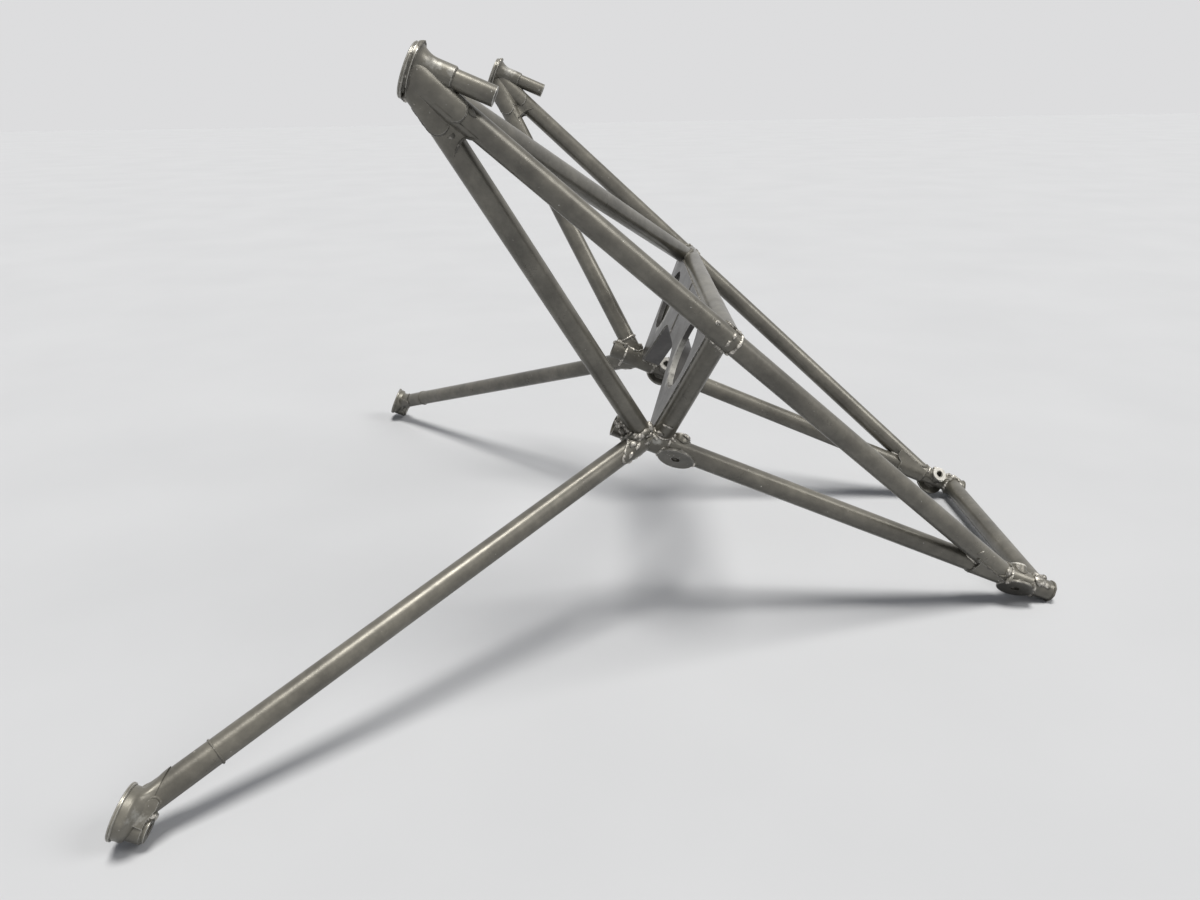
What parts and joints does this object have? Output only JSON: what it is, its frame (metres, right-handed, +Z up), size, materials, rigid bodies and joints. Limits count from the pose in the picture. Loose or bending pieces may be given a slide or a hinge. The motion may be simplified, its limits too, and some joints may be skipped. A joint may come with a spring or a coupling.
{
  "type": "aircraft engine mount",
  "caption": "Welded tube frame that holds a flat aircraft engine off a firewall, with round firewall feet, long bearers with isolator seats and a sheet web with round holes.",
  "frame": {"origin": "middle of the footprint on the floor that the frame stands on", "axes": "+X from the firewall side towards the nose, +Y towards the aircraft's left, +Z up; the frame stands nose down on its lower firewall feet and front pads, as in the picture"},
  "size_m": [0.8916, 1.0674, 0.5869],
  "materials": {
    "tube": "satin grey bronze paint",
    "foot": "satin grey bronze paint, worn at the rims",
    "gusset": "satin grey bronze paint over formed sheet",
    "web": "satin grey bronze paint over flat sheet",
    "pad": "satin grey bronze paint",
    "washer": "bare machined steel"
  },
  "bodies": {
    "root": {"bed_cap_left": "tube", "bed_cap_right": "tube", "bed_tube_left": "tube", "bed_tube_right": "tube", "bed_wrap_left": "gusset", "bed_wrap_right": "gusset", "cross_brace": "tube", "diagonal_tube_left": "tube", "diagonal_tube_right": "tube", "foot_tube_left": "tube", "foot_tube_right": "tube", "front_bush_left": "pad", "front_bush_right": "pad", "front_cross_tube": "tube", "front_pad_left": "pad", "front_pad_right": "pad", "front_washer_left": "washer", "front_washer_right": "washer", "lower_foot_barrel_left": "foot", "lower_foot_barrel_right": "foot", "lower_foot_disc_left": "foot", "lower_foot_disc_right": "foot", "lower_wrap_left": "gusset", "lower_wrap_right": "gusset", "nose_wrap_left": "gusset", "nose_wrap_right": "gusset", "rear_bush_left": "pad", "rear_bush_right": "pad", "rear_pad_left": "pad", "rear_pad_right": "pad", "rear_washer_left": "washer", "rear_washer_right": "washer", "saddle_hoop_left": "web", "saddle_hoop_right": "web", "saddle_leg_left": "tube", "saddle_leg_right": "tube", "saddle_top_tube": "tube", "saddle_web_left": "web", "saddle_web_right": "web", "upper_bolt_sleeve_left": "foot", "upper_bolt_sleeve_right": "foot", "upper_foot_disc_left": "foot", "upper_foot_disc_right": "foot", "upper_foot_ring_left": "foot", "upper_foot_ring_right": "foot", "upper_front_tube_left": "tube", "upper_front_tube_right": "tube", "upper_rear_tube_left": "tube", "upper_rear_tube_right": "tube", "upper_wrap_left": "gusset", "upper_wrap_right": "gusset"}
  },
  "joints": []
}
